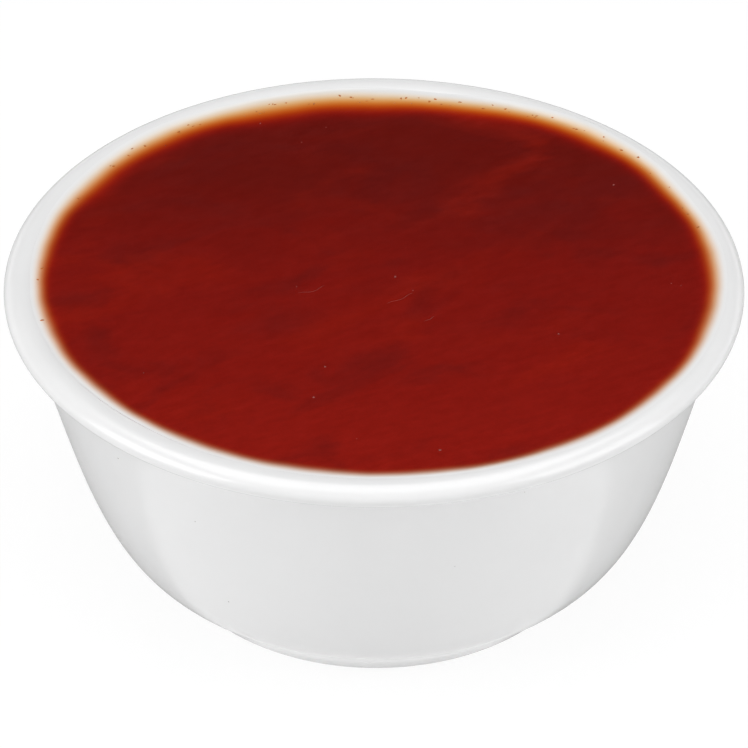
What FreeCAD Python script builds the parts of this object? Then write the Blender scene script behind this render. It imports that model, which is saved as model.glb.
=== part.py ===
import FreeCAD, Part

import math
import os

import Sketcher
from FreeCAD import Vector

# A small glazed bowl with a rolled rim and a flat ring to stand on, filled almost to its brim with
# ketchup.
#
# Millimetres, +Z up. The axis of the bowl is the Z axis, and its foot stands on the plane Z = 0.
# Each piece is a half profile turned once round that axis. In a profile, the first coordinate is
# the distance from the axis and the second the height above the table. The bowl and the ketchup
# trace the inside of the bowl with one function, so they meet face to face at any size.

# Every driving size, with its value in millimetres or degrees and what it sets.
SIZES = [
    ("rim_radius", 60.0, "axis to the outermost edge of the rolled rim"),
    ("bowl_height", 54.8, "table to the crest of the rim"),
    ("nose_radius", 1.5, "roundness of the outer edge of the rim"),
    ("shoulder_radius", 2.8, "roundness of the rim between its edge and its crest"),
    ("shoulder_angle", 40.0, "degrees above level at which the edge passes into the shoulder"),
    ("lip_radius", 7.0, "roundness of the inner side of the rim"),
    ("crease_radius", 0.5, "roundness of the glaze in the crease below the rim"),
    ("crease_angle", 95.0, "degrees below level at which the edge passes into the crease"),
    ("flare_inset", 6.05, "rim edge to the handle that bends the wall out below the rim"),
    ("flare_depth", 8.9, "crest of the rim down to that handle"),
    ("belly_radius", 50.3, "axis to the handle that rounds the wall in towards the foot"),
    ("belly_height", 15.1, "table to that handle"),
    ("skirt_share", 0.24, "how far from the skirt's upper handle to the belly's the skirt ends"),
    ("skirt_top_spread", 4.9, "outside of the foot ring out to the skirt's upper handle"),
    ("skirt_top_height", 5.3, "table to that handle"),
    ("skirt_base_spread", 2.6, "outside of the foot ring out to the skirt's lower handle"),
    ("skirt_base_height", 2.7, "table to that handle"),
    ("wall", 4.0, "how far inside the outer handles the inner handles lie"),
    ("lip_depth", 14.0, "crest of the rim down to the inner handle below the lip"),
    ("floor_thickness", 4.5, "hollow inside the foot ring up to the floor of the bowl"),
    ("floor_radius", 25.0, "axis to where the flat floor starts to rise"),
    ("foot_radius", 34.7, "axis to the outside of the flat ring that the bowl stands on"),
    ("ring_width", 3.5, "width of that ring, before its inner edge is rounded"),
    ("ring_rounding", 0.9, "rounding of both edges of that ring"),
    ("recess_depth", 1.5, "depth of the hollow inside that ring"),
    ("fill_drop", 0.35, "crest of the rim down to the level of the ketchup"),
]


def polar(centre, radius, angle):
    """The place at an angle round a centre. All are expressions, and so is what this returns."""
    return (f"({centre[0]} + {radius} * cos({angle}))", f"({centre[1]} + {radius} * sin({angle}))")


def touching(centre, radius, target, sign):
    """Where a line from a target touches a circle: minus is the clockwise of the two places."""
    across = f"({target[0]} - {centre[0]})"
    up = f"({target[1]} - {centre[1]})"
    angle = f"atan2({up}; {across}) {sign} acos({radius} / hypot({across}; {up}))"
    return polar(centre, radius, angle)


def between(first, second, share):
    """The place that is this share of the way from one place to another."""
    along = f"({first[0]} + {share} * ({second[0]} - {first[0]}))"
    up = f"({first[1]} + {share} * ({second[1]} - {first[1]}))"
    return (along, up)


# The places of the profiles, as expressions of the sizes.
SHOULDER_ANGLE = "sizes.shoulder_angle * 1deg"
CREASE_ANGLE = "-sizes.crease_angle * 1deg"
SETBACK = "(sizes.shoulder_radius - sizes.nose_radius)"
CREST_X = f"(sizes.rim_radius - sizes.nose_radius - {SETBACK} * cos({SHOULDER_ANGLE}))"
FLOOR_Z = "(sizes.recess_depth + sizes.floor_thickness)"
RING_X = "(sizes.foot_radius - sizes.ring_width)"

BRIM_CENTRE = ("0", "sizes.bowl_height")
CREST = (CREST_X, "sizes.bowl_height")
SHOULDER_CENTRE = (CREST_X, "(sizes.bowl_height - sizes.shoulder_radius)")
NOSE_CENTRE = polar(SHOULDER_CENTRE, SETBACK, SHOULDER_ANGLE)
NOSE_TOP = polar(NOSE_CENTRE, "sizes.nose_radius", SHOULDER_ANGLE)
NOSE_BOTTOM = polar(NOSE_CENTRE, "sizes.nose_radius", CREASE_ANGLE)
CREASE_CENTRE = polar(NOSE_CENTRE, "(sizes.nose_radius + sizes.crease_radius)", CREASE_ANGLE)
FLARE_HANDLE = ("(sizes.rim_radius - sizes.flare_inset)", "(sizes.bowl_height - sizes.flare_depth)")
BELLY_HANDLE = ("sizes.belly_radius", "sizes.belly_height")
WALL_TOP = touching(CREASE_CENTRE, "sizes.crease_radius", FLARE_HANDLE, "-")
SKIRT_TOP_HANDLE = ("(sizes.foot_radius + sizes.skirt_top_spread)", "sizes.skirt_top_height")
SKIRT_BASE_HANDLE = ("(sizes.foot_radius + sizes.skirt_base_spread)", "sizes.skirt_base_height")
SKIRT_TOP = between(SKIRT_TOP_HANDLE, BELLY_HANDLE, "sizes.skirt_share")
RING_OUTSIDE = ("sizes.foot_radius", "0")
FOOT_CENTRE = ("sizes.foot_radius", "sizes.ring_rounding")
FOOT_TOP = touching(FOOT_CENTRE, "sizes.ring_rounding", SKIRT_BASE_HANDLE, "-")
RING_INSIDE = (RING_X, "0")
RECESS_EDGE = (RING_X, "sizes.recess_depth")
RECESS_CENTRE = ("0", "sizes.recess_depth")

LIP_CENTRE = (CREST_X, "(sizes.bowl_height - sizes.lip_radius)")
INNER_FLARE_HANDLE = (f"({FLARE_HANDLE[0]} - sizes.wall)", "(sizes.bowl_height - sizes.lip_depth)")
INNER_BELLY_HANDLE = ("(sizes.belly_radius - sizes.wall)", FLOOR_Z)
LIP_END = touching(LIP_CENTRE, "sizes.lip_radius", INNER_FLARE_HANDLE, "-")
FLOOR_EDGE = ("sizes.floor_radius", FLOOR_Z)
FLOOR_CENTRE = ("0", FLOOR_Z)

# How Sketcher numbers what a constraint names: the ends and centre of a piece of geometry, the
# origin's point, and the sketch's upright axis.
START, END, CENTRE = 1, 2, 3
ORIGIN = -1
UPRIGHT_AXIS = -2


def make_sheet(document):
    """The spreadsheet of driving sizes: name in column A, value in column B, meaning in column C."""
    sheet = document.addObject("Spreadsheet::Sheet", "sizes")
    for row, (alias, value, meaning) in enumerate(SIZES, start=1):
        sheet.set(f"A{row}", alias)
        sheet.set(f"B{row}", str(value))
        sheet.set(f"C{row}", meaning)
        sheet.setAlias(f"B{row}", alias)
    document.recompute()


def add_sketch(body, name, role):
    """A new sketch on the plane of a body's own origin that has this role."""
    sketch = body.newObject("Sketcher::SketchObject", name)
    plane = next(item for item in body.Origin.OriginFeatures if item.Role == role)
    sketch.AttachmentSupport = [(plane, "")]
    sketch.MapMode = "FlatFace"
    return sketch


class Profile:
    """A closed half profile on a body's XZ plane, drawn as one unbroken path from its start."""

    def __init__(self, body, name, start):
        self.sketch = add_sketch(body, name, "XZ_Plane")
        self.start = start
        self.point = self.at(start)
        self.loose_end = None

    def value(self, expression):
        """What an expression of the sizes comes to now."""
        return float(self.sketch.evalExpression(expression))

    def at(self, place):
        """A place, which is a pair of expressions, as a point of the sketch."""
        return Vector(self.value(place[0]), self.value(place[1]), 0)

    def constrain(self, kind, *what):
        """Add a constraint and return its number."""
        return self.sketch.addConstraint(Sketcher.Constraint(kind, *what))

    def hold(self, kind, geometry, end, expression):
        """Keep a point's distance from the origin, along X or along Y, equal to an expression."""
        number = self.constrain(kind, ORIGIN, START, geometry, end, self.value(expression))
        self.sketch.setExpression(f"Constraints[{number}]", expression)

    def hold_both(self, geometry, end, place):
        """Keep a point at a place, where a first coordinate of 0 means on the axis."""
        if place[0] == "0":
            self.constrain("PointOnObject", geometry, end, UPRIGHT_AXIS)
        else:
            self.hold("DistanceX", geometry, end, place[0])
        self.hold("DistanceY", geometry, end, place[1])

    def join(self, geometry, near, far):
        """Join one end of a new piece to the path, and leave its other end loose."""
        if self.loose_end is None:
            self.hold_both(geometry, near, self.start)
        else:
            self.constrain("Coincident", *self.loose_end, geometry, near)
        self.loose_end = (geometry, far)

    def line_to(self, place):
        """A straight run to a place."""
        end = self.at(place)
        line = self.sketch.addGeometry(Part.LineSegment(self.point, end))
        self.join(line, START, END)
        self.hold_both(line, END, place)
        self.point = end

    def arc_to(self, centre, place, clockwise=False):
        """An arc round a centre to a place, which is held by the coordinate that slides along it."""
        middle = self.at(centre)
        end = self.at(place)
        first = math.atan2(self.point.y - middle.y, self.point.x - middle.x)
        last = math.atan2(end.y - middle.y, end.x - middle.x)
        near, far = START, END
        if clockwise:
            first, last = last, first
            near, far = END, START
        if last < first:
            last += 2 * math.pi
        circle = Part.Circle(middle, Vector(0, 0, 1), self.point.distanceToPoint(middle))
        arc = self.sketch.addGeometry(Part.ArcOfCircle(circle, first, last))
        self.join(arc, near, far)
        self.hold_both(arc, CENTRE, centre)
        if abs(end.y - middle.y) > abs(end.x - middle.x):
            self.hold("DistanceX", arc, far, place[0])
        else:
            self.hold("DistanceY", arc, far, place[1])
        self.point = end

    def curve_to(self, first_handle, second_handle, place):
        """A cubic Bezier curve to a place, bent by two handles."""
        places = (first_handle, second_handle, place)
        poles = [self.point] + [self.at(pole) for pole in places]
        spline = Part.BSplineCurve()
        spline.buildFromPolesMultsKnots(poles, [4, 4], [0, 1], False, 3)
        curve = self.sketch.addGeometry(spline)
        self.join(curve, START, END)
        for number, pole in enumerate(poles):
            knob = self.sketch.addGeometry(Part.Circle(pole, Vector(0, 0, 1), 1.0), True)
            kind = "InternalAlignment:Sketcher::BSplineControlPoint"
            self.constrain(kind, knob, CENTRE, curve, number)
            self.constrain("Weight", knob, 1.0)
            if number > 0:
                self.hold_both(knob, CENTRE, places[number - 1])
        self.point = poles[-1]

    def close(self):
        """A straight run back to the start, after which nothing in the sketch may be free."""
        first_piece = 0
        line = self.sketch.addGeometry(Part.LineSegment(self.point, self.at(self.start)))
        self.join(line, START, END)
        self.constrain("Coincident", line, END, first_piece, START)
        self.sketch.solve()
        if not self.sketch.FullyConstrained:
            raise RuntimeError(f"sketch {self.sketch.Name} isn't fully constrained")


def trace_inside(profile):
    """From the crest over the lip, down the inside of the wall and along the floor to the axis."""
    profile.arc_to(LIP_CENTRE, LIP_END)
    profile.curve_to(INNER_FLARE_HANDLE, INNER_BELLY_HANDLE, FLOOR_EDGE)
    profile.line_to(FLOOR_CENTRE)


def turn(body, sketch):
    """Turn a half profile once round the axis, and return the feature."""
    feature = body.newObject("PartDesign::Revolution", f"{sketch.Name}_turned")
    feature.Profile = sketch
    feature.ReferenceAxis = (sketch, ["V_Axis"])
    feature.Angle = 360
    body.Document.recompute()
    return feature


def ring_edge(shape, radius, height):
    """The name of the level, round edge of a shape that has this radius and this height."""
    near = 1e-4
    for number, edge in enumerate(shape.Edges, start=1):
        curve = edge.Curve
        if not isinstance(curve, Part.Circle):
            continue
        if abs(curve.Radius - radius) < near and abs(curve.Center.z - height) < near:
            return f"Edge{number}"
    raise RuntimeError(f"no round edge of radius {radius} at height {height}")


def round_off(profile, base, name, place, radius):
    """Fillet the round edge that passes through a place of a profile, by a radius in the sheet."""
    corner = profile.at(place)
    feature = base.getParentGeoFeatureGroup().newObject("PartDesign::Fillet", name)
    feature.Base = (base, [ring_edge(base.Shape, corner.x, corner.y)])
    feature.setExpression("Radius", radius)


def make_bowl(document):
    """The bowl: foot ring, skirt, belly, flaring wall, crease, rolled rim, and its inside."""
    body = document.addObject("PartDesign::Body", "bowl")
    profile = Profile(body, "bowl_profile", RECESS_CENTRE)
    profile.line_to(RECESS_EDGE)
    profile.line_to(RING_INSIDE)
    profile.line_to(RING_OUTSIDE)
    profile.arc_to(FOOT_CENTRE, FOOT_TOP)
    profile.curve_to(SKIRT_BASE_HANDLE, SKIRT_TOP_HANDLE, SKIRT_TOP)
    profile.curve_to(BELLY_HANDLE, FLARE_HANDLE, WALL_TOP)
    profile.arc_to(CREASE_CENTRE, NOSE_BOTTOM, clockwise=True)
    profile.arc_to(NOSE_CENTRE, NOSE_TOP)
    profile.arc_to(SHOULDER_CENTRE, CREST)
    trace_inside(profile)
    profile.close()
    turned = turn(body, profile.sketch)
    round_off(profile, turned, "ring_edge", RING_INSIDE, "sizes.ring_rounding")


def make_ketchup(document):
    """The ketchup: all that the bowl holds up to its crest, less what lies above the fill level."""
    body = document.addObject("PartDesign::Body", "ketchup")
    profile = Profile(body, "brimful_profile", BRIM_CENTRE)
    profile.line_to(CREST)
    trace_inside(profile)
    profile.close()
    brimful = turn(body, profile.sketch)
    above = add_sketch(body, "above_the_level", "XY_Plane")
    above.setExpression("AttachmentOffset.Base.z", "sizes.bowl_height")
    reach = profile.value("sizes.rim_radius")
    disc = above.addGeometry(Part.Circle(Vector(0, 0, 0), Vector(0, 0, 1), reach))
    above.addConstraint(Sketcher.Constraint("Coincident", disc, CENTRE, ORIGIN, START))
    number = above.addConstraint(Sketcher.Constraint("Radius", disc, reach))
    above.setExpression(f"Constraints[{number}]", "sizes.rim_radius")
    level = body.newObject("PartDesign::Pocket", "level")
    level.Profile = above
    level.setExpression("Length", "sizes.fill_drop")
    document.recompute()
    if level.Shape.Volume >= brimful.Shape.Volume:
        raise RuntimeError("the ketchup wasn't cut down to its level")


def check(document):
    """Stop with a plain message if any object failed or any body isn't one sound solid."""
    for item in document.Objects:
        if "Invalid" in item.State or "Error" in item.State:
            raise RuntimeError(f"{item.Name} failed: {item.State}")
    for body in document.findObjects("PartDesign::Body"):
        shape = body.Shape
        if shape.isNull() or not shape.isValid() or len(shape.Solids) != 1:
            raise RuntimeError(f"{body.Label} isn't one sound solid")


def main():
    document = FreeCAD.newDocument("filled_bowl")
    make_sheet(document)
    make_bowl(document)
    make_ketchup(document)
    document.recompute()
    check(document)
    os.makedirs("parts", exist_ok=True)
    for body in document.findObjects("PartDesign::Body"):
        body.Shape.exportStep(f"parts/{body.Label}.step")
        print(f"{body.Label}: {body.Shape.Volume / 1000:.1f} cubic centimetres")


main()
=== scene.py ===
"""A white glazed bowl, filled almost to its crest with ketchup, on a pale floor.

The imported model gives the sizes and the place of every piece. Each operator below makes one
piece, or one group of like pieces, and the panel in the sidebar lists them.
"""

import math

import bpy
import numpy as np
from bpy.props import FloatProperty, FloatVectorProperty, IntProperty, PointerProperty
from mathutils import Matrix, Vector


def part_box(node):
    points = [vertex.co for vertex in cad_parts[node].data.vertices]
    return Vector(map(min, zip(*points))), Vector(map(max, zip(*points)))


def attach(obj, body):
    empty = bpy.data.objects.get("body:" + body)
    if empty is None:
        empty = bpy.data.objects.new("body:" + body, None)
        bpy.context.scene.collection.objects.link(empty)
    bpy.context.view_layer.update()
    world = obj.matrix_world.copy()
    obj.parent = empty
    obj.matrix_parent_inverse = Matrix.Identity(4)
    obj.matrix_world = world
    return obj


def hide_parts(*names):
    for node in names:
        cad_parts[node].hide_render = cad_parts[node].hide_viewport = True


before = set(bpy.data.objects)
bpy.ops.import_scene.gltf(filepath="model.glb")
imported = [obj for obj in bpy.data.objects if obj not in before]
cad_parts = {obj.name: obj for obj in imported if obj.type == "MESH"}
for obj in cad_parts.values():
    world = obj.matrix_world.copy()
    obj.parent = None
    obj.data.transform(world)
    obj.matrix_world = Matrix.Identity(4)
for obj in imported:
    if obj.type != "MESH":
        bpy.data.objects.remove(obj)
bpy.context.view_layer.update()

bl_info = {
    "name": "Bowl of Ketchup",
    "version": (1, 0, 0),
    "blender": (4, 5, 0),
    "location": "3D View > Sidebar > Ketchup",
    "description": "Makes a glazed bowl of ketchup and a small studio for it",
    "category": "Object",
}

MM = 0.001
BOWL_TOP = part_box("bowl")[1]
SAUCE_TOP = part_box("ketchup")[1]

# Where the sauce has run out further than it has all round, or less far: the direction and the
# reach to each side, both in degrees, and how much further, in millimetres
EDGE_BULGES = (
    (22, 10, -0.65),
    (50, 10, 0.6),
    (79, 10, -0.75),
    (131, 12, 0.7),
    (150, 22, 0.5),
    (226, 13, -0.42),
    (308, 7, 0.3),
)


# Settings


def length(name, description, millimetres):
    """A length, given here in millimetres and kept in metres."""
    return FloatProperty(
        name=name, description=description, default=millimetres * MM, unit="LENGTH", precision=5
    )


def amount(name, description, default):
    """A plain number."""
    return FloatProperty(name=name, description=description, default=default, precision=4)


def turn(name, description, degrees):
    """An angle, given here in degrees."""
    return FloatProperty(
        name=name, description=description, default=math.radians(degrees), subtype="ANGLE"
    )


def colour(name, description, default):
    """A colour, in linear light."""
    return FloatVectorProperty(
        name=name, description=description, default=default, subtype="COLOR", min=0, max=1
    )


def count(name, description, default):
    """A whole number."""
    return IntProperty(name=name, description=description, default=default, min=0)


class BowlSettings(bpy.types.PropertyGroup):
    """Sizes of the bowl's section and the look of its glaze."""

    rim_radius: length("Rim radius", "Outermost radius of the rim", min(BOWL_TOP.xy) / MM)
    height: length("Height", "Height of the crest above the table", BOWL_TOP.z / MM)
    nose_radius: length("Nose radius", "Rounding of the rim's outer nose", 1.5)
    shoulder_radius: length("Shoulder radius", "Rounding from the nose to the crest", 2.8)
    shoulder_angle: turn("Shoulder angle", "Where the nose passes into the shoulder", 40)
    lip_radius: length("Lip radius", "Rounding from the crest down to the inner wall", 7)
    crease_radius: length("Crease radius", "Hollow between the rim and the wall", 0.5)
    crease_angle: turn("Crease angle", "Where the hollow passes into the nose", 95)
    flare_inset: length("Flare inset", "How far the wall's upper handle lies inside the rim", 6.05)
    flare_depth: length("Flare depth", "How far that handle lies below the crest", 8.9)
    belly_radius: length("Belly radius", "Radius of the wall's lower handle", 50.3)
    belly_height: length("Belly height", "Height of the wall's lower handle", 15.1)
    skirt_share: amount("Skirt share", "How far towards the belly's handle the skirt ends", 0.24)
    skirt_top_spread: length("Skirt top spread", "Foot ring out to the skirt's upper handle", 4.9)
    skirt_top_height: length("Skirt top height", "Height of that handle", 5.3)
    skirt_base_spread: length("Skirt base spread", "Foot ring out to its lower handle", 2.6)
    skirt_base_height: length("Skirt base height", "Height of that handle", 2.7)
    wall: length("Wall", "How far inside the outer handles the inner handles lie", 4)
    lip_depth: length("Lip depth", "How far the inner upper handle lies below the crest", 14)
    floor_height: length("Floor height", "Top of the bowl's floor above the table", 6)
    floor_radius: length("Floor radius", "Flat part of the floor inside", 25)
    foot_radius: length("Foot radius", "Outer radius of the foot ring's flat", 34.7)
    ring_width: length("Ring width", "Width of the foot ring", 3.5)
    ring_rounding: length("Ring rounding", "Rounding of the foot ring's edges", 0.9)
    recess_depth: length("Recess depth", "Depth of the hollow under the foot", 1.5)
    lean: length("Lean", "How far the foot stands to the right of the rim's centre", 0.38)
    glaze: colour("Glaze", "Colour of the glaze", (0.868, 0.868, 0.87))
    speck: colour("Speck", "Colour of the specks in the glaze", (0.2, 0.18, 0.16))
    specks: count("Specks", "Dark specks in the glaze of the wall", 14)


class SauceSettings(bpy.types.PropertyGroup):
    """Shape, thin edge and colours of the ketchup."""

    edge_radius: length("Edge radius", "Radius of the line where the sauce ends", 55.8)
    spread_right: length("Spread", "How much further the sauce has run on the right", 1.4)
    edge_ripple: length("Edge ripple", "Unevenness of the sauce's edge", 0.09)
    meniscus: length("Meniscus", "Rounding where the sauce's level passes into the lip", 0.12)
    relief: length("Relief", "Height of the unevenness of its top", 0.04)
    streak_angle: turn("Streak angle", "Direction of the streaks, from the right", 28)
    thin_front: length("Thin front", "Width of the see-through edge in front", 1.4)
    thin_far: length("Thin far", "How much wider that edge is on the far side", 2.45)
    # Painted light and shade: the near colour is the sauce painted lighter in front, where the lamps
    # light it more, the far colour is it painted darker at the far side, and the middle colour lies
    # between
    near_painted_light_colour: colour("Near colour", "Sauce at the near side", (0.265, 0.0078, 0.0036))
    middle_colour: colour("Middle colour", "Sauce in the middle", (0.208, 0.0055, 0.0027))
    far_painted_shade_colour: colour("Far colour", "Sauce at the far side", (0.142, 0.0042, 0.0018))
    dark_colour: colour("Dark colour", "Darker clouds in the sauce", (0.125, 0.0055, 0.0042))
    warm_colour: colour("Warm colour", "Warmer clouds in the sauce", (0.29, 0.0095, 0.0025))
    seed: count("Seed", "Picks the relief and the places of the small things", 7)


class SmallSettings(bpy.types.PropertyGroup):
    """The small things on the sauce."""

    flecks: count("Flecks", "Spice flecks along the edge", 64)
    fleck_size: length("Fleck size", "Mean length of a fleck", 0.54)
    fleck_colour: colour("Fleck colour", "Colour of the spice", (0.6, 0.16, 0.008))
    bubbles: count("Bubbles", "Tiny bubbles on the sauce", 16)
    bubble_size: length("Bubble size", "Mean width of a bubble", 0.3)
    bubble_colour: colour("Bubble colour", "Colour of a bubble's skin", (0.32, 0.05, 0.04))
    fibres: count("Fibres", "Short tomato fibres on the sauce", 3)
    fibre_length: length("Fibre length", "Mean length of a fibre", 4)
    fibre_width: length("Fibre width", "Width of a fibre", 0.1)
    fibre_colour: colour("Fibre colour", "Colour of a fibre", (0.24, 0.02, 0.012))


class StageSettings(bpy.types.PropertyGroup):
    """Camera, lamps and floor."""

    elevation: turn("Elevation", "How far the camera looks down", 35.78)
    distance: length("Distance", "From the camera to the point it looks at", 720)
    aim_height: length("Aim height", "Height of that point", 33.8)
    lens: amount("Lens", "Focal length in millimetres on a sensor 36 mm wide", 210.1)
    front_share: amount("Front lamp", "Light from the lamp in front", 0.16)
    top_share: amount("Top lamp", "Light from the lamp overhead", 0.755)
    left_share: amount("Left lamp", "Light from the left", 0.5)
    right_share: amount("Right lamp", "Light from the right", 0.42)
    surround: amount("Surround", "Light from the room", 0.03)
    floor_colour: colour("Floor", "Colour of the floor", (0.88, 0.88, 0.88))
    floor_glow: amount("Floor glow", "How much of the floor is seen as plain white", 0.85)
    # Painted shadow: where the glaze mirrors the floor, its back part is painted darker by this much,
    # and its front shows plain white as if lit
    floor_painted_shadow: amount("Floor dimming", "How dark its back part looks in the glaze", 0.35)


# Shader maths


class Number:
    """A number that a node gives. Plain arithmetic on it adds Math nodes."""

    def __init__(self, graph, socket):
        self.graph = graph
        self.socket = socket

    def __add__(self, other):
        return self.graph.number("ADD", self, other)

    def __sub__(self, other):
        return self.graph.number("SUBTRACT", self, other)

    def __mul__(self, other):
        return self.graph.number("MULTIPLY", self, other)

    def __truediv__(self, other):
        return self.graph.number("DIVIDE", self, other)

    def __pow__(self, other):
        return self.graph.number("POWER", self, other)

    def __neg__(self):
        return self.graph.number("MULTIPLY", self, -1)

    def __radd__(self, other):
        return self.graph.number("ADD", other, self)

    def __rsub__(self, other):
        return self.graph.number("SUBTRACT", other, self)

    def __rmul__(self, other):
        return self.graph.number("MULTIPLY", other, self)

    def __rtruediv__(self, other):
        return self.graph.number("DIVIDE", other, self)

    def exp(self):
        """e to the power of the value."""
        return self.graph.number("EXPONENT", self)

    def clamp(self):
        """The value, held between 0 and 1."""
        return self.graph.number("MINIMUM", self.graph.number("MAXIMUM", self, 0), 1)

    def step(self, low, high):
        """0 up to low, 1 from high, and smooth between them."""
        inputs = {"Value": self, "From Min": low, "From Max": high}
        settings = {"interpolation_type": "SMOOTHSTEP", "clamp": True}
        return Number(self.graph, self.graph.node("ShaderNodeMapRange", settings, inputs).outputs[0])


class Graph:
    """The node tree of a material or of the world, emptied, with short ways to add to it."""

    def __init__(self, tree):
        self.tree = tree
        tree.nodes.clear()

    def node(self, kind, settings, inputs):
        """Adds a node, gives it its settings and then the values or links of its sockets."""
        made = self.tree.nodes.new(kind)
        for name, value in settings.items():
            if name == "stops":
                self.fill_ramp(made.color_ramp, value)
            else:
                setattr(made, name, value)
        for name, value in inputs.items():
            if isinstance(value, Number):
                self.tree.links.new(value.socket, made.inputs[name])
            elif isinstance(value, bpy.types.NodeSocket):
                self.tree.links.new(value, made.inputs[name])
            else:
                made.inputs[name].default_value = value
        return made

    def fill_ramp(self, ramp, stops):
        """Gives a ramp its stops, each a place from 0 to 1 and a colour."""
        while len(ramp.elements) < len(stops):
            ramp.elements.new(1)
        for element, (place, shade) in zip(ramp.elements, stops):
            element.position = place
            element.color = (*shade, 1)

    def number(self, operation, *values):
        """The result of one Math node."""
        made = self.node("ShaderNodeMath", {"operation": operation}, dict(enumerate(values)))
        return Number(self, made.outputs[0])

    def vector(self, operation, *values):
        """The vector that one Vector Math node gives."""
        made = self.node("ShaderNodeVectorMath", {"operation": operation}, dict(enumerate(values)))
        return made.outputs["Vector"]

    def mix(self, factor, first, second):
        """first where factor is 0, second where it is 1, for colours."""
        inputs = {0: factor, 6: opaque(first), 7: opaque(second)}
        return self.node("ShaderNodeMix", {"data_type": "RGBA"}, inputs).outputs[2]

    def mix_channels(self, factor, first, second):
        """The same with a factor of its own for red, green and blue."""
        settings = {"data_type": "VECTOR", "factor_mode": "NON_UNIFORM"}
        return self.node("ShaderNodeMix", settings, {1: factor, 4: first, 5: second}).outputs[1]

    def reading(self, name):
        """A number that the mesh holds at each vertex."""
        made = self.node("ShaderNodeAttribute", {"attribute_name": name}, {})
        return Number(self, made.outputs["Fac"])

    def place(self):
        """Object coordinates, in metres."""
        return self.node("ShaderNodeTexCoord", {}, {}).outputs["Object"]

    def parts(self, vector):
        """The three numbers of a vector."""
        made = self.node("ShaderNodeSeparateXYZ", {}, {"Vector": vector})
        return [Number(self, socket) for socket in made.outputs]

    def joined(self, x, y, z):
        """The vector of three numbers."""
        return self.node("ShaderNodeCombineXYZ", {}, {"X": x, "Y": y, "Z": z}).outputs[0]

    def noise(self, vector, size, detail, distortion=0.0):
        """Cloudy noise from 0 to 1 with clouds of the given size in metres."""
        inputs = {"Vector": vector, "Scale": 1 / size, "Detail": detail, "Distortion": distortion}
        return Number(self, self.node("ShaderNodeTexNoise", {}, inputs).outputs[0])

    def rays(self):
        """1 for light seen directly or through something clear, and 1 for light seen mirrored."""
        path = self.node("ShaderNodeLightPath", {}, {})
        camera = Number(self, path.outputs["Is Camera Ray"])
        through = Number(self, path.outputs["Is Transmission Ray"])
        mirrored = Number(self, path.outputs["Is Glossy Ray"])
        return self.number("MAXIMUM", camera, through), mirrored

    def stretched(self, vector, angle, ratio):
        """Coordinates turned by angle about the upright axis, then shortened along X by ratio."""
        settings = {"vector_type": "POINT"}
        inputs = {"Vector": vector, "Rotation": (0, 0, -angle), "Scale": (1, 1, 1)}
        turned = self.node("ShaderNodeMapping", settings, inputs).outputs[0]
        return self.vector("MULTIPLY", turned, (1 / ratio, 1, 1))

    def bump(self, height, distance):
        """A bumped normal. height runs from 0 to 1 and distance is its full height in metres."""
        inputs = {"Height": height, "Distance": distance, "Strength": 1.0}
        return self.node("ShaderNodeBump", {}, inputs).outputs[0]


def opaque(value):
    """A plain colour gets its fourth number; a link stays as it is."""
    return (*value, 1) if isinstance(value, (tuple, list)) and len(value) == 3 else value


def new_material(name, shade):
    """An empty material, with the colour that the viewport shows."""
    made = bpy.data.materials.new(name)
    made.use_nodes = True
    made.diffuse_color = (*shade, 1)
    return made, Graph(made.node_tree)


def finish_material(graph, **inputs):
    """Ends a node tree in one Principled shader. Spaces in socket names are written as _."""
    named = {name.replace("_", " "): opaque(value) for name, value in inputs.items()}
    shader = graph.node("ShaderNodeBsdfPrincipled", {}, named)
    graph.node("ShaderNodeOutputMaterial", {}, {"Surface": shader.outputs[0]})


def glaze_material(bowl):
    """White glaze: faint clouds in its colour and shine, and an orange-peel waviness."""
    made, graph = new_material("white_glaze", tuple(bowl.glaze))
    place = graph.place()
    cloud = graph.noise(place, 14 * MM, detail=3)
    fine = graph.noise(place, 1.2 * MM, detail=2)
    shade = graph.mix(cloud.step(0.3, 0.75) * 0.5, tuple(bowl.glaze), (0.84, 0.84, 0.842))
    peel = graph.noise(place, 3.5 * MM, detail=1)
    finish_material(
        graph,
        Base_Color=shade,
        Roughness=0.13 + cloud * 0.05 + fine * 0.03,
        Normal=graph.bump(peel, 0.007 * MM),
        IOR=1.5,
    )
    return made


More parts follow.
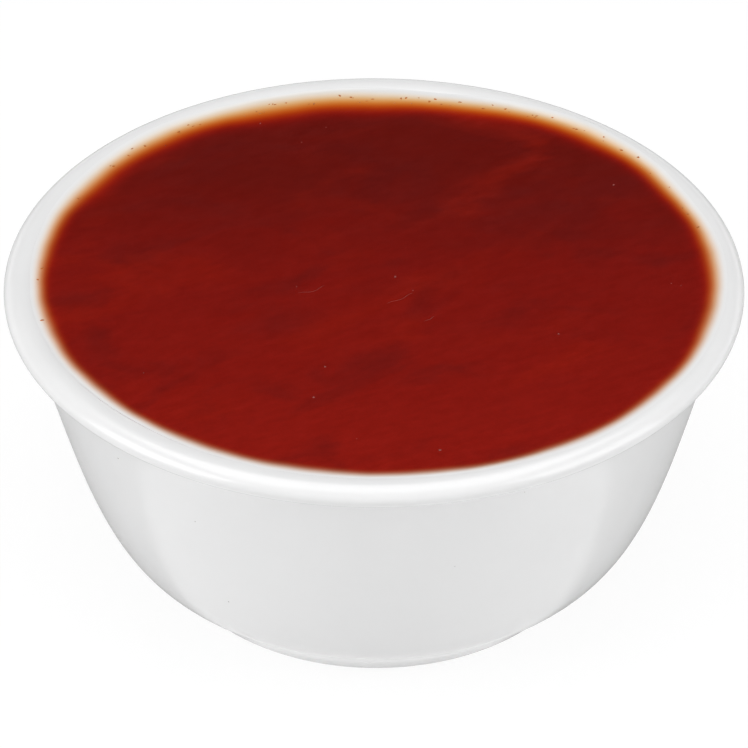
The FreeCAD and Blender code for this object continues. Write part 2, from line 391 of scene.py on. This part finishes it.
def sauce_material(sauce, bowl):
    """Ketchup. Its edge lets the glaze shine through, and clouds and streaks break up the rest.

    The share of the glaze's green light that passes the thin edge is exp(-depth). Less blue
    passes and more red, the more so the stronger the edge's tint.
    """
    made, graph = new_material("ketchup", tuple(sauce.middle_colour))
    place = graph.place()
    x, y, _ = graph.parts(place)

    # Painted light and shade: the sauce is painted lighter near the front and darker towards the far
    # side, as the front lamps fall off; drift makes the line between them uneven
    drift = graph.noise(place, 26 * MM, detail=3, distortion=0.6)
    along = y + (drift - 0.5) * (22 * MM)
    settings = {
        "stops": [
            (0.0, tuple(sauce.near_painted_light_colour)),
            (0.5, tuple(sauce.middle_colour)),
            (0.78, tuple(sauce.far_painted_shade_colour)),
            (1.0, tuple(sauce.far_painted_shade_colour)),
        ]
    }
    painted_falloff = (along / (104 * MM) + 0.5).clamp()
    body = graph.node("ShaderNodeValToRGB", settings, {"Fac": painted_falloff}).outputs[0]

    swirl = graph.stretched(place, sauce.streak_angle, 1.8)
    dark = graph.noise(graph.vector("ADD", swirl, (0.3, 0.1, 0)), 12 * MM, detail=4, distortion=0.8)
    body = graph.mix(dark.step(0.48, 0.72) * 0.5, body, tuple(sauce.dark_colour))
    warm = graph.noise(graph.vector("ADD", swirl, (0.7, 0.4, 0)), 14 * MM, detail=4, distortion=0.8)
    body = graph.mix(warm.step(0.5, 0.75) * 0.45, body, tuple(sauce.warm_colour))

    fibre = graph.noise(graph.stretched(place, sauce.streak_angle, 2.5), 1.1 * MM, detail=3)
    grain = graph.noise(place, 0.35 * MM, detail=2)
    tone = 0.93 + (fibre - 0.5) * 0.3 + (grain - 0.5) * 0.16
    body = graph.vector("MULTIPLY", body, graph.joined(tone, tone, tone))

    depth = graph.reading("edge_depth")
    tint = graph.reading("edge_tint")
    red = (-(depth ** (1 + tint * 0.2) / (1.33 + tint * 2.67))).exp()
    green = (-depth).exp()
    blue = (-(depth * (1.25 + tint * 0.75))).exp()
    shade = graph.mix_channels(graph.joined(red, green, blue), body, tuple(bowl.glaze))

    ripple = graph.noise(graph.stretched(place, sauce.streak_angle, 1.5), 1.8 * MM, detail=4)
    finish_material(
        graph,
        Base_Color=shade,
        Roughness=0.15 + fibre * 0.1,
        Normal=graph.bump(ripple, 0.018 * MM),
        IOR=1.42,
    )
    return made


def small_material(name, shade, roughness, size):
    """A natural colour broken up by fine grain of the given size."""
    made, graph = new_material(name, shade)
    place = graph.place()
    grain = graph.noise(place, size, detail=3)
    darker = tuple(part * 0.55 for part in shade)
    finish_material(
        graph,
        Base_Color=graph.mix(grain.step(0.35, 0.7), shade, darker),
        Roughness=roughness + (grain - 0.5) * 0.2,
        Normal=graph.bump(grain, 0.02 * MM),
        IOR=1.45,
    )
    return made


# Curves and surfaces


def arc(centre, radius, first, last, points):
    """A circular arc in the section: centre + radius (cos a, sin a), a in even steps, in radians."""
    angle = np.linspace(first, last, points)
    return np.column_stack(
        (centre[0] + radius * np.cos(angle), centre[1] + radius * np.sin(angle))
    )


def bezier(start, leave, arrive, end, points):
    """A cubic Bezier curve: (1-t)^3 A + 3 t (1-t)^2 B + 3 t^2 (1-t) C + t^3 D, t from 0 to 1."""
    t = np.linspace(0, 1, points)[:, None]
    a, b, c, d = (np.array(place) for place in (start, leave, arrive, end))
    return (1 - t) ** 3 * a + 3 * t * (1 - t) ** 2 * b + 3 * t**2 * (1 - t) * c + t**3 * d


def straight(start, end, points):
    """Even steps along a straight line."""
    t = np.linspace(0, 1, points)[:, None]
    return (1 - t) * np.array(start) + t * np.array(end)


def on_circle(centre, radius, angle):
    """The point of a circle at an angle."""
    return (centre[0] + radius * math.cos(angle), centre[1] + radius * math.sin(angle))


def rim_centres(bowl):
    """Centres of the arcs that make the rim, each touching the next: nose, shoulder, lip, crease."""
    turned = bowl.shoulder_angle
    rise = bowl.shoulder_radius - bowl.nose_radius
    shoulder = (
        bowl.rim_radius - bowl.nose_radius - rise * math.cos(turned),
        bowl.height - bowl.shoulder_radius,
    )
    nose = on_circle(shoulder, rise, turned)
    lip = (shoulder[0], bowl.height - bowl.lip_radius)
    crease = on_circle(nose, bowl.nose_radius + bowl.crease_radius, -bowl.crease_angle)
    return nose, shoulder, lip, crease


def touching(centre, radius, target):
    """The angle at which a line from a target touches a circle, clockwise of the target: the
    target's own angle less acos(radius / distance)."""
    across, up = target[0] - centre[0], target[1] - centre[1]
    angle = math.atan2(up, across) - math.acos(radius / math.hypot(across, up))
    return angle % (2 * math.pi)


def handles(bowl):
    """The points that bend the walls: skirt base, skirt top, belly, flare, and the inner two."""
    belly = (bowl.belly_radius, bowl.belly_height)
    flare = (bowl.rim_radius - bowl.flare_inset, bowl.height - bowl.flare_depth)
    return (
        (bowl.foot_radius + bowl.skirt_base_spread, bowl.skirt_base_height),
        (bowl.foot_radius + bowl.skirt_top_spread, bowl.skirt_top_height),
        belly,
        flare,
        (belly[0] - bowl.wall, bowl.floor_height),
        (flare[0] - bowl.wall, bowl.height - bowl.lip_depth),
    )


def touch_angles(bowl):
    """Where the walls touch the foot's rounding, the crease and the lip, as angles round them."""
    base, _, _, flare, _, inner = handles(bowl)
    _, _, lip, crease = rim_centres(bowl)
    foot = (bowl.foot_radius, bowl.ring_rounding)
    return (
        touching(foot, bowl.ring_rounding, base),
        touching(crease, bowl.crease_radius, flare),
        touching(lip, bowl.lip_radius, inner),
    )


def skirt_top(bowl):
    """Where the skirt passes into the wall, on the line between a handle of each."""
    _, upper, belly, _, _, _ = handles(bowl)
    share = bowl.skirt_share
    return tuple((1 - share) * low + share * high for low, high in zip(upper, belly))


def skirt(bowl, points):
    """The skirt's section: a cubic Bezier curve from the foot's rounding to the wall."""
    base, upper, _, _, _, _ = handles(bowl)
    foot = (bowl.foot_radius, bowl.ring_rounding)
    start = on_circle(foot, bowl.ring_rounding, touch_angles(bowl)[0])
    return bezier(start, base, upper, skirt_top(bowl), points)


def outer_wall(bowl, points):
    """The outer wall's section: a cubic Bezier curve from the skirt to the crease."""
    _, _, belly, flare, _, _ = handles(bowl)
    crease = rim_centres(bowl)[3]
    end = on_circle(crease, bowl.crease_radius, touch_angles(bowl)[1])
    return bezier(skirt_top(bowl), belly, flare, end, points)


def inner_wall(bowl, points):
    """The inner wall's section, from the flat floor up to the lip: a cubic Bezier curve."""
    _, _, _, _, belly, flare = handles(bowl)
    lip = rim_centres(bowl)[2]
    end = on_circle(lip, bowl.lip_radius, touch_angles(bowl)[2])
    return bezier((bowl.floor_radius, bowl.floor_height), belly, flare, end, points)


def bowl_section(bowl):
    """The whole section of the bowl, from the middle underneath, over the rim, to the floor inside."""
    nose, shoulder, lip, crease = rim_centres(bowl)
    foot_end, crease_start, lip_end = touch_angles(bowl)
    quarter = math.pi / 2
    rounding = bowl.ring_rounding
    ring_inside = bowl.foot_radius - bowl.ring_width
    outside = (bowl.foot_radius, rounding)
    inside = (ring_inside + rounding, rounding)
    runs = [
        straight((ring_inside / 24, bowl.recess_depth), (ring_inside, bowl.recess_depth), 24),
        straight((ring_inside, bowl.recess_depth), (ring_inside, rounding), 3),
        arc(inside, rounding, 2 * quarter, 3 * quarter, 7),
        arc(outside, rounding, 3 * quarter, foot_end, 7),
        skirt(bowl, 24),
        outer_wall(bowl, 70),
        arc(crease, bowl.crease_radius, crease_start, math.pi - bowl.crease_angle, 8),
        arc(nose, bowl.nose_radius, -bowl.crease_angle, bowl.shoulder_angle, 22),
        arc(shoulder, bowl.shoulder_radius, bowl.shoulder_angle, quarter, 10),
        arc(lip, bowl.lip_radius, quarter, lip_end, 20),
        inner_wall(bowl, 50)[::-1],
        straight((bowl.floor_radius, bowl.floor_height), (1 * MM, bowl.floor_height), 14),
    ]
    section = np.concatenate(runs)
    apart = np.linalg.norm(np.diff(section, axis=0), axis=1) > 1e-7
    return section[np.concatenate(([True], apart))]


def lean_at(bowl, height):
    """How far the wall stands to the right at a height: all of the lean at the foot, none from
    the crease up, and in proportion between."""
    crease = rim_centres(bowl)[3]
    return bowl.lean * np.clip(1 - height / crease[1], 0, 1)


def closed_rings(rings, first_pole, last_pole):
    """Vertices and faces of rings of points, (ring, turn, xyz), closed round and by two poles.

    The faces look outwards when the rings run from underneath outwards and up.
    """
    levels, turns, _ = rings.shape
    index = np.arange(levels * turns).reshape(levels, turns)
    beside = np.roll(index, -1, axis=1)
    quads = np.stack((index[:-1], beside[:-1], beside[1:], index[1:]), axis=-1).reshape(-1, 4)
    low = np.full(turns, levels * turns)
    under = np.stack((low, beside[0], index[0]), axis=-1)
    over = np.stack((low + 1, index[-1], beside[-1]), axis=-1)
    points = np.concatenate((rings.reshape(-1, 3), [first_pole, last_pole]))
    return points, quads.tolist() + under.tolist() + over.tolist()


def around(turns):
    """Even steps of angle round a circle, without the last."""
    return np.arange(turns) * (2 * math.pi / turns)


def add_to_scene(name, data):
    """A new object of the scene that holds a mesh, a light or a camera."""
    made = bpy.data.objects.new(name, data)
    bpy.context.scene.collection.objects.link(made)
    return made


def new_piece(name, points, faces, material, slot, *nodes):
    """A smooth mesh object that rides on the one body and may stand for CAD nodes."""
    mesh = bpy.data.meshes.new(name)
    mesh.from_pydata(points.tolist(), [], faces)
    mesh.polygons.foreach_set("use_smooth", np.ones(len(mesh.polygons), dtype=bool))
    mesh.update()
    mesh.materials.append(material)
    piece = add_to_scene(name, mesh)
    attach(piece, "root")
    if nodes:
        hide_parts(*nodes)
    return piece


def lip_height(bowl, radius):
    """Height of the lip's glaze at a radius: centre + sqrt(lip radius^2 - offset^2)."""
    lip = rim_centres(bowl)[2]
    return lip[1] + np.sqrt(np.maximum(bowl.lip_radius**2 - (radius - lip[0]) ** 2, 0))


def toward(angle, degrees):
    """1 in the direction of an angle given in degrees, 0 opposite: (1 + cos(difference)) / 2."""
    return (1 + np.cos(angle - math.radians(degrees))) / 2


def bulge(angle, degrees, painted_falloff):
    """1 in a direction given in degrees, falling off to both sides: exp(-(difference/reach)^2)."""
    turned = angle - math.radians(degrees)
    difference = np.arctan2(np.sin(turned), np.cos(turned))
    return np.exp(-((difference / math.radians(painted_falloff)) ** 2))


def sauce_edge(sauce, angle):
    """Radius of the sauce's edge at an angle: a circle, a flat-topped spread on the right, a small
    swell in front, the listed bulges, and five sine waves that make it uneven."""
    wave = 0.45 * np.sin(5 * angle + 1) + 0.35 * np.sin(11 * angle + 2) + 0.3 * np.sin(23 * angle)
    wave = wave + 0.2 * np.sin(41 * angle + 4) + 0.15 * np.sin(67 * angle + 1)
    spread = (1 + np.tanh(8 * toward(angle, -5) - 5.6)) / 2
    swell = toward(angle, 270) ** 20
    radius = sauce.edge_radius + sauce.spread_right * (spread + 0.2 * swell)
    for degrees, painted_falloff, further in EDGE_BULGES:
        radius = radius + further * MM * bulge(angle, degrees, painted_falloff)
    return radius + sauce.edge_ripple * wave


def thin_width(sauce, angle):
    """Width of the see-through edge at an angle: least in front, a little more on the right and
    most on the far side."""
    uneven = 1 + 0.05 * np.sin(7 * angle + 2) + 0.04 * np.sin(17 * angle)
    wider = toward(angle, 99) ** 3.3 + 0.16 * toward(angle, 0) ** 8
    return (sauce.thin_front + sauce.thin_far * wider) * uneven


def edge_depth(sauce, angle, inward):
    """How deep the sauce is for green light: (inward / width)^2.5, and on the far side a film
    that adds up to 0.25 over its first few millimetres."""
    film = bulge(angle, 110, 12.6) * (1 - np.exp(-inward / (2.5 * MM)))
    return (inward / thin_width(sauce, angle)) ** 2.5 + 0.25 * film


def relief(sauce, x, y):
    """Unevenness of the sauce's top, about -1 to 1: a sum of sine waves, sin(k . p + phase), with
    random phases and most crests lying along the streaks, each weighted by its wavelength."""
    random = np.random.default_rng(sauce.seed)
    waves = 46
    shortest, longest = 3.2 * MM, 44.8 * MM
    wavelength = shortest * (longest / shortest) ** random.random(waves)
    heading = sauce.streak_angle + math.pi / 2 + random.normal(0, 1.0, waves)
    phase = random.random(waves) * 2 * math.pi
    weight = wavelength**0.9
    weight = weight / np.sqrt((weight**2).sum())
    total = np.zeros(np.shape(x))
    for size, way, start, share in zip(wavelength, heading, phase, weight):
        total = total + share * np.sin(
            2 * math.pi / size * (x * math.cos(way) + y * math.sin(way)) + start
        )
    return total


def sauce_height(bowl, sauce, x, y):
    """Height of the sauce's top: its level plus the relief, which fades at the edge, passing
    smoothly into the lip as (lip + level + sqrt((lip - level)^2 + meniscus^2)) / 2."""
    radius = np.hypot(x, y)
    inside = np.maximum(sauce_edge(sauce, np.arctan2(y, x)) - radius, 0)
    level = SAUCE_TOP.z + sauce.relief * relief(sauce, x, y) * (1 - np.exp(-inside / (3 * MM)))
    lip = lip_height(bowl, radius)
    top = (lip + level + np.sqrt((lip - level) ** 2 + sauce.meniscus**2)) / 2
    return np.minimum(top, BOWL_TOP.z)


def sauce_under(bowl, edge):
    """Radius and height of the sauce's lower side, with a column for each turn: along the bowl's
    floor, up its inner wall, and round the lip's arc to the edge."""
    floor = straight((3 * MM, bowl.floor_height), (bowl.floor_radius, bowl.floor_height), 5)
    wall = np.concatenate((floor, inner_wall(bowl, 16)[1:]))
    lip = rim_centres(bowl)[2]
    first = touch_angles(bowl)[2]
    last = np.arccos((edge - lip[0]) / bowl.lip_radius)
    bend = first + (last - first) * np.linspace(0, 1, 9)[1:, None]
    radius, height = (np.repeat(side[:, None], len(edge), axis=1) for side in wall.T)
    return (
        np.concatenate((radius, lip[0] + bowl.lip_radius * np.cos(bend))),
        np.concatenate((height, lip[1] + bowl.lip_radius * np.sin(bend))),
    )


# Operators


class KetchupOperator:
    """What all the operators share."""

    bl_options = {"REGISTER", "UNDO"}

    def settings(self, context):
        """The settings of the bowl, the sauce and the small things."""
        scene = context.scene
        return scene.ketchup_bowl, scene.ketchup_sauce, scene.ketchup_small


class KETCHUP_OT_bowl(KetchupOperator, bpy.types.Operator):
    """Makes the glazed bowl: its section carried round the upright axis"""

    bl_idname = "ketchup.bowl"
    bl_label = "Glazed Bowl"

    def execute(self, context):
        bowl, _, _ = self.settings(context)
        section = bowl_section(bowl)
        angle = around(300)
        shift = lean_at(bowl, section[:, 1, None])
        rings = np.stack(
            (
                section[:, 0, None] * np.cos(angle) + shift,
                section[:, 0, None] * np.sin(angle),
                np.repeat(section[:, 1, None], len(angle), axis=1),
            ),
            axis=-1,
        )
        under = (shift[0, 0], 0, section[0, 1])
        inside = (shift[-1, 0], 0, section[-1, 1])
        points, faces = closed_rings(rings, under, inside)
        new_piece("glazed_bowl", points, faces, glaze_material(bowl), "glazed_white", "bowl")
        return {"FINISHED"}


class KETCHUP_OT_specks(KetchupOperator, bpy.types.Operator):
    """Scatters a few dark specks in the glaze of the outer wall"""

    bl_idname = "ketchup.specks"
    bl_label = "Glaze Specks"

    def execute(self, context):
        bowl, sauce, _ = self.settings(context)
        random = np.random.default_rng(sauce.seed + 4)
        steps = 200
        wall = outer_wall(bowl, steps)
        spot = random.integers(steps // 5, steps - 10, bowl.specks)
        angle = random.random(bowl.specks) * 2 * math.pi
        along = wall[spot + 1] - wall[spot]
        along = along / np.linalg.norm(along, axis=1)[:, None]
        out = np.column_stack((along[:, 1], -along[:, 0]))
        radius, height = wall[spot].T
        lean = lean_at(bowl, height)
        centre = np.column_stack((radius * np.cos(angle) + lean, radius * np.sin(angle), height))
        normal = np.column_stack((out[:, 0] * np.cos(angle), out[:, 0] * np.sin(angle), out[:, 1]))
        size = 0.11 * MM * (0.6 + random.random(bowl.specks))
        points, faces = grains(random, centre, normal, size, size, size * 0.18)
        material = small_material("iron_speck", tuple(bowl.speck), 0.2, 0.1 * MM)
        new_piece("glaze_specks", points, faces, material, "glazed_white")
        return {"FINISHED"}


def joined_meshes(meshes):
    """Many meshes, each its vertices and faces, as the vertices and faces of one."""
    all_points, all_faces, start = [], [], 0
    for points, faces in meshes:
        all_points.append(points)
        all_faces += [[corner + start for corner in face] for face in faces]
        start += len(points)
    return np.concatenate(all_points), all_faces


def grains(random, centre, normal, half_length, half_width, half_height):
    """Many small flattened grains as one mesh. Each is an ellipsoid, centre + a cos v cos u +
    b cos v sin u + c sin v, with its outline made uneven by two waves of u."""
    number = len(centre)
    u = around(8)
    v = np.radians([-55, 0, 45])
    spin = random.random(number) * 2 * math.pi
    helper = np.where(np.abs(normal[:, 2:]) < 0.9, [[0.0, 0.0, 1.0]], [[1.0, 0.0, 0.0]])
    side = np.cross(helper, normal)
    side = side / np.linalg.norm(side, axis=1)[:, None]
    other = np.cross(normal, side)
    first = side * np.cos(spin)[:, None] + other * np.sin(spin)[:, None]
    second = np.cross(normal, first)
    phase = random.random((2, number, 1)) * 2 * math.pi
    outline = 1 + 0.22 * np.sin(2 * u + phase[0]) + 0.16 * np.sin(3 * u + phase[1])
    flat = np.cos(v)[None, :, None] * outline[:, None, :]
    across = flat * np.cos(u) * np.reshape(half_length, (-1, 1, 1))
    aside = flat * np.sin(u) * np.reshape(half_width, (-1, 1, 1))
    up = np.sin(v)[None, :, None] * np.reshape(half_height, (-1, 1, 1)) * np.ones_like(flat)
    rings = (
        centre[:, None, None, :]
        + across[..., None] * first[:, None, None, :]
        + aside[..., None] * second[:, None, None, :]
        + up[..., None] * normal[:, None, None, :]
    )
    pole = np.reshape(half_height, (-1, 1)) * normal
    return joined_meshes(map(closed_rings, rings, centre - pole, centre + pole))


class KETCHUP_OT_sauce(KetchupOperator, bpy.types.Operator):
    """Makes the ketchup: an uneven top that thins out on the lip, over the bowl's inner wall"""

    bl_idname = "ketchup.sauce"
    bl_label = "Ketchup"

    def execute(self, context):
        bowl, sauce, _ = self.settings(context)
        angle = around(480)
        edge = sauce_edge(sauce, angle)
        low_radius, low_height = sauce_under(bowl, edge)
        step = np.linspace(0, 1, 130)[:-1, None]
        top_radius = edge * (1 - step**1.6)
        x, y = top_radius * np.cos(angle), top_radius * np.sin(angle)
        clearance = 0.02 * MM
        radius = np.concatenate((low_radius - clearance, top_radius))
        height = np.concatenate((low_height, sauce_height(bowl, sauce, x, y)))
        shift = lean_at(bowl, height)
        rings = np.stack((radius * np.cos(angle) + shift, radius * np.sin(angle), height), axis=-1)
        middle = float(sauce_height(bowl, sauce, np.zeros(1), np.zeros(1))[0])
        under = (shift[0, 0], 0, bowl.floor_height)
        points, faces = closed_rings(rings, under, (0, 0, middle))
        material = sauce_material(sauce, bowl)
        piece = new_piece("ketchup_fill", points, faces, material, "ketchup", "ketchup")
        opaque_depth = 60
        depth = np.minimum(edge_depth(sauce, angle, edge - top_radius), opaque_depth)
        low_depth = np.full(low_radius.shape, opaque_depth)
        self.store(piece, "edge_depth", np.concatenate((low_depth, depth)))
        tint = 1.25 * toward(angle, 85) ** 1.3
        self.store(piece, "edge_tint", np.broadcast_to(tint, radius.shape))
        return {"FINISHED"}

    def store(self, piece, name, values):
        """Gives each vertex of the rings its number, and both poles the last ring's."""
        poles = [values[-1].mean(), values[-1].mean()]
        values = np.concatenate((values.reshape(-1), poles)).astype(np.float32)
        attribute = piece.data.attributes.new(name, "FLOAT", "POINT")
        attribute.data.foreach_set("value", values)


class KETCHUP_OT_flecks(KetchupOperator, bpy.types.Operator):
    """Scatters flecks of spice in the thin edge of the sauce, most of them on the far side"""

    bl_idname = "ketchup.flecks"
    bl_label = "Spice Flecks"

    def execute(self, context):
        bowl, sauce, small = self.settings(context)
        random = np.random.default_rng(sauce.seed + 1)
        number = small.flecks
        angle = random.normal(math.radians(84), 0.5, number)
        astray = random.random(number) < 0.2
        angle = np.where(astray, random.uniform(-0.3, 3.6, number), angle)
        inward = thin_width(sauce, angle) * random.uniform(0.55, 1.2, number)
        radius = sauce_edge(sauce, angle) - inward
        x, y = radius * np.cos(angle), radius * np.sin(angle)
        z = sauce_height(bowl, sauce, x, y)
        centre = np.column_stack((x, y, z))
        normal = np.tile([0.0, 0.0, 1.0], (number, 1))
        half = small.fleck_size / 2 * (0.55 + 0.8 * random.random(number))
        points, faces = grains(random, centre, normal, half, half * 0.65, half * 0.12)
        material = small_material("spice", tuple(small.fleck_colour), 0.4, 0.2 * MM)
        new_piece("spice_flecks", points, faces, material, "ketchup")
        return {"FINISHED"}


class KETCHUP_OT_bubbles(KetchupOperator, bpy.types.Operator):
    """Scatters tiny bubbles over the sauce"""

    bl_idname = "ketchup.bubbles"
    bl_label = "Tiny Bubbles"

    def execute(self, context):
        bowl, sauce, small = self.settings(context)
        random = np.random.default_rng(sauce.seed + 2)
        number = small.bubbles
        radius = sauce.edge_radius * 0.93 * np.sqrt(random.random(number))
        angle = random.random(number) * 2 * math.pi
        x, y = radius * np.cos(angle), radius * np.sin(angle)
        centre = np.column_stack((x, y, sauce_height(bowl, sauce, x, y)))
        normal = np.tile([0.0, 0.0, 1.0], (number, 1))
        half = small.bubble_size / 2 * (0.5 + random.random(number))
        points, faces = grains(random, centre, normal, half, half, half * 0.6)
        material = small_material("bubble_skin", tuple(small.bubble_colour), 0.12, 0.3 * MM)
        new_piece("tiny_bubbles", points, faces, material, "ketchup")
        return {"FINISHED"}


class KETCHUP_OT_fibres(KetchupOperator, bpy.types.Operator):
    """Lays short tomato fibres on the sauce: a round section carried along a curved path"""

    bl_idname = "ketchup.fibres"
    bl_label = "Tomato Fibres"

    def execute(self, context):
        bowl, sauce, small = self.settings(context)
        random = np.random.default_rng(sauce.seed + 3)
        fibres = [self.fibre(bowl, sauce, small, random) for _ in range(small.fibres)]
        points, faces = joined_meshes(fibres)
        material = small_material("tomato_fibre", tuple(small.fibre_colour), 0.6, 0.4 * MM)
        new_piece("tomato_fibres", points, faces, material, "ketchup")
        return {"FINISHED"}

    def fibre(self, bowl, sauce, small, random):
        """One fibre. Its path bends as offset = bow t (1 - t) + wave sin(3 pi t) beside a straight
        line, and its section shrinks to nothing at both ends as sqrt(1 - (2 t - 1)^2)."""
        t = np.linspace(0.02, 0.98, 15)
        whole = small.fibre_length * (0.4 + random.random())
        away = sauce.edge_radius * 0.35 * math.sqrt(random.random())
        bearing = random.random() * 2 * math.pi
        heading = sauce.streak_angle + random.normal(0, 0.5)
        ahead = (t - 0.5) * whole
        beside = whole * (random.normal(0, 0.5) * t * (1 - t) + 0.03 * np.sin(3 * math.pi * t))
        x = away * math.cos(bearing) + ahead * math.cos(heading) - beside * math.sin(heading)
        y = away * math.sin(bearing) + ahead * math.sin(heading) + beside * math.cos(heading)
        z = sauce_height(bowl, sauce, x, y)
        path = np.column_stack((x, y, z))
        tangent = np.gradient(path, axis=0)
        tangent = tangent / np.linalg.norm(tangent, axis=1)[:, None]
        side = np.cross(tangent, [0.0, 0.0, 1.0])
        side = side / np.linalg.norm(side, axis=1)[:, None]
        up = np.cross(side, tangent)
        thick = small.fibre_width / 2 * np.sqrt(1 - (2 * t - 1) ** 2)
        u = around(8)
        flatness = 0.7
        rings = path[:, None, :] + thick[:, None, None] * (
            np.cos(u)[None, :, None] * side[:, None, :]
            + flatness * np.sin(u)[None, :, None] * up[:, None, :]
        )
        return closed_rings(rings, path[0], path[-1])


class KETCHUP_OT_stage(KetchupOperator, bpy.types.Operator):
    """Sets up the floor, the room's light, four soft lamps and the camera"""

    bl_idname = "ketchup.stage"
    bl_label = "Stage"

    def execute(self, context):
        stage = context.scene.ketchup_stage
        self.floor(stage)
        self.room(context, stage)
        self.lamp("front_lamp", (0.05, -0.7, 0.5), (0.8, 0.7), stage.front_share)
        self.lamp("top_lamp", (0.0, 0.02, 0.85), (0.9, 0.85), stage.top_share)
        self.lamp("left_lamp", (-0.65, -0.3, 0.38), (0.6, 0.5), stage.left_share)
        self.lamp("right_lamp", (0.65, -0.3, 0.38), (0.6, 0.5), stage.right_share)
        self.camera(context, stage)
        context.scene.view_settings.view_transform = "Standard"
        return {"FINISHED"}

    def floor(self, stage):
        """A wide floor. It is seen as white, and what lamps and shadows do to it shows a little."""
        half = 2.5
        mesh = bpy.data.meshes.new("floor")
        corners = [(-half, -half, 0), (half, -half, 0), (half, half, 0), (-half, half, 0)]
        mesh.from_pydata(corners, [], [(0, 1, 2, 3)])
        made, graph = new_material("pale_floor", tuple(stage.floor_colour))
        place = graph.place()
        _, y, _ = graph.parts(place)
        direct, mirrored = graph.rays()
        # Painted light and shadow, seen only in the glaze: the floor's front shows plain white as lit
        # by the lamps, and its back part is painted darker as the bowl's shadow
        front = (-y).step(25 * MM, 31 * MM)
        glow = graph.number("MAXIMUM", direct, mirrored * front) * stage.floor_glow
        cloth = graph.noise(place, 0.4, detail=1)
        shade = graph.mix(cloth * 0.1, tuple(stage.floor_colour), (0.84, 0.84, 0.84))
        dim = mirrored * (1 - front) * stage.floor_painted_shadow
        shade = graph.mix(dim, shade, (0, 0, 0))
        matt = graph.node("ShaderNodeBsdfDiffuse", {}, {"Color": shade})
        plain = graph.node("ShaderNodeEmission", {}, {"Color": (1, 1, 1, 1), "Strength": 1.05})
        inputs = {0: glow, 1: matt.outputs[0], 2: plain.outputs[0]}
        mixed = graph.node("ShaderNodeMixShader", {}, inputs)
        graph.node("ShaderNodeOutputMaterial", {}, {"Surface": mixed.outputs[0]})
        mesh.materials.append(made)
        add_to_scene("floor", mesh)

    def room(self, context, stage):
        """The room is white behind the table, up to a low height where the glaze mirrors it, and
        dim above and as a source of light."""
        world = bpy.data.worlds.new("room")
        world.use_nodes = True
        context.scene.world = world
        graph = Graph(world.node_tree)
        direct, mirrored = graph.rays()
        direction = graph.node("ShaderNodeTexCoord", {}, {}).outputs["Generated"]
        rise = graph.parts(direction)[2]
        white = graph.number("MAXIMUM", direct, mirrored * (1 - rise.step(0.22, 0.42)))
        strength = stage.surround + white * (1 - stage.surround)
        light = graph.node("ShaderNodeBackground", {}, {"Color": (1, 1, 1, 1), "Strength": strength})
        graph.node("ShaderNodeOutputWorld", {}, {"Surface": light.outputs[0]})

    def lamp(self, name, place, size, share):
        """A soft rectangular lamp that looks at the bowl. share is the light that it gives a
        surface facing it: at 1 a colour renders as written."""
        aim = Vector((0, 0, BOWL_TOP.z * 0.7)) - Vector(place)
        data = bpy.data.lights.new(name, "AREA")
        data.shape = "RECTANGLE"
        data.size, data.size_y = size
        data.energy = share * (math.pi * aim.length) ** 2
        lamp = add_to_scene(name, data)
        lamp.location = place
        lamp.rotation_euler = aim.to_track_quat("-Z", "Y").to_euler()

    def camera(self, context, stage):
        """The camera stands in front and looks down at the bowl."""
        data = bpy.data.cameras.new("camera")
        data.lens = stage.lens
        data.sensor_width = 36
        data.clip_start = 0.05
        camera = add_to_scene("camera", data)
        back = Vector((0, -math.cos(stage.elevation), math.sin(stage.elevation)))
        camera.location = Vector((0, 0, stage.aim_height)) + back * stage.distance
        camera.rotation_euler = (-back).to_track_quat("-Z", "Y").to_euler()
        context.scene.camera = camera


class KETCHUP_PT_panel(bpy.types.Panel):
    """Lists the pieces and the settings"""

    bl_idname = "KETCHUP_PT_panel"
    bl_label = "Bowl of Ketchup"
    bl_space_type = "VIEW_3D"
    bl_region_type = "UI"
    bl_category = "Ketchup"

    def draw(self, context):
        for operator in OPERATORS:
            self.layout.operator(operator.bl_idname)
        for name in GROUPS:
            box = self.layout.box()
            group = getattr(context.scene, name)
            for setting in group.bl_rna.properties:
                if setting.identifier not in ("rna_type", "name"):
                    box.prop(group, setting.identifier)


GROUPS = {
    "ketchup_bowl": BowlSettings,
    "ketchup_sauce": SauceSettings,
    "ketchup_small": SmallSettings,
    "ketchup_stage": StageSettings,
}
OPERATORS = (
    KETCHUP_OT_bowl,
    KETCHUP_OT_specks,
    KETCHUP_OT_sauce,
    KETCHUP_OT_flecks,
    KETCHUP_OT_bubbles,
    KETCHUP_OT_fibres,
    KETCHUP_OT_stage,
)


def register():
    """Registers the settings, the operators and the panel."""
    for name, group in GROUPS.items():
        bpy.utils.register_class(group)
        setattr(bpy.types.Scene, name, PointerProperty(type=group))
    for operator in OPERATORS:
        bpy.utils.register_class(operator)
    bpy.utils.register_class(KETCHUP_PT_panel)


def unregister():
    """Takes them all away again."""
    bpy.utils.unregister_class(KETCHUP_PT_panel)
    for operator in reversed(OPERATORS):
        bpy.utils.unregister_class(operator)
    for name, group in GROUPS.items():
        delattr(bpy.types.Scene, name)
        bpy.utils.unregister_class(group)


def main():
    """Makes every piece and the stage."""
    register()
    bpy.ops.ketchup.bowl()
    bpy.ops.ketchup.specks()
    bpy.ops.ketchup.sauce()
    bpy.ops.ketchup.flecks()
    bpy.ops.ketchup.bubbles()
    bpy.ops.ketchup.fibres()
    bpy.ops.ketchup.stage()


if __name__ == "__main__":
    main()
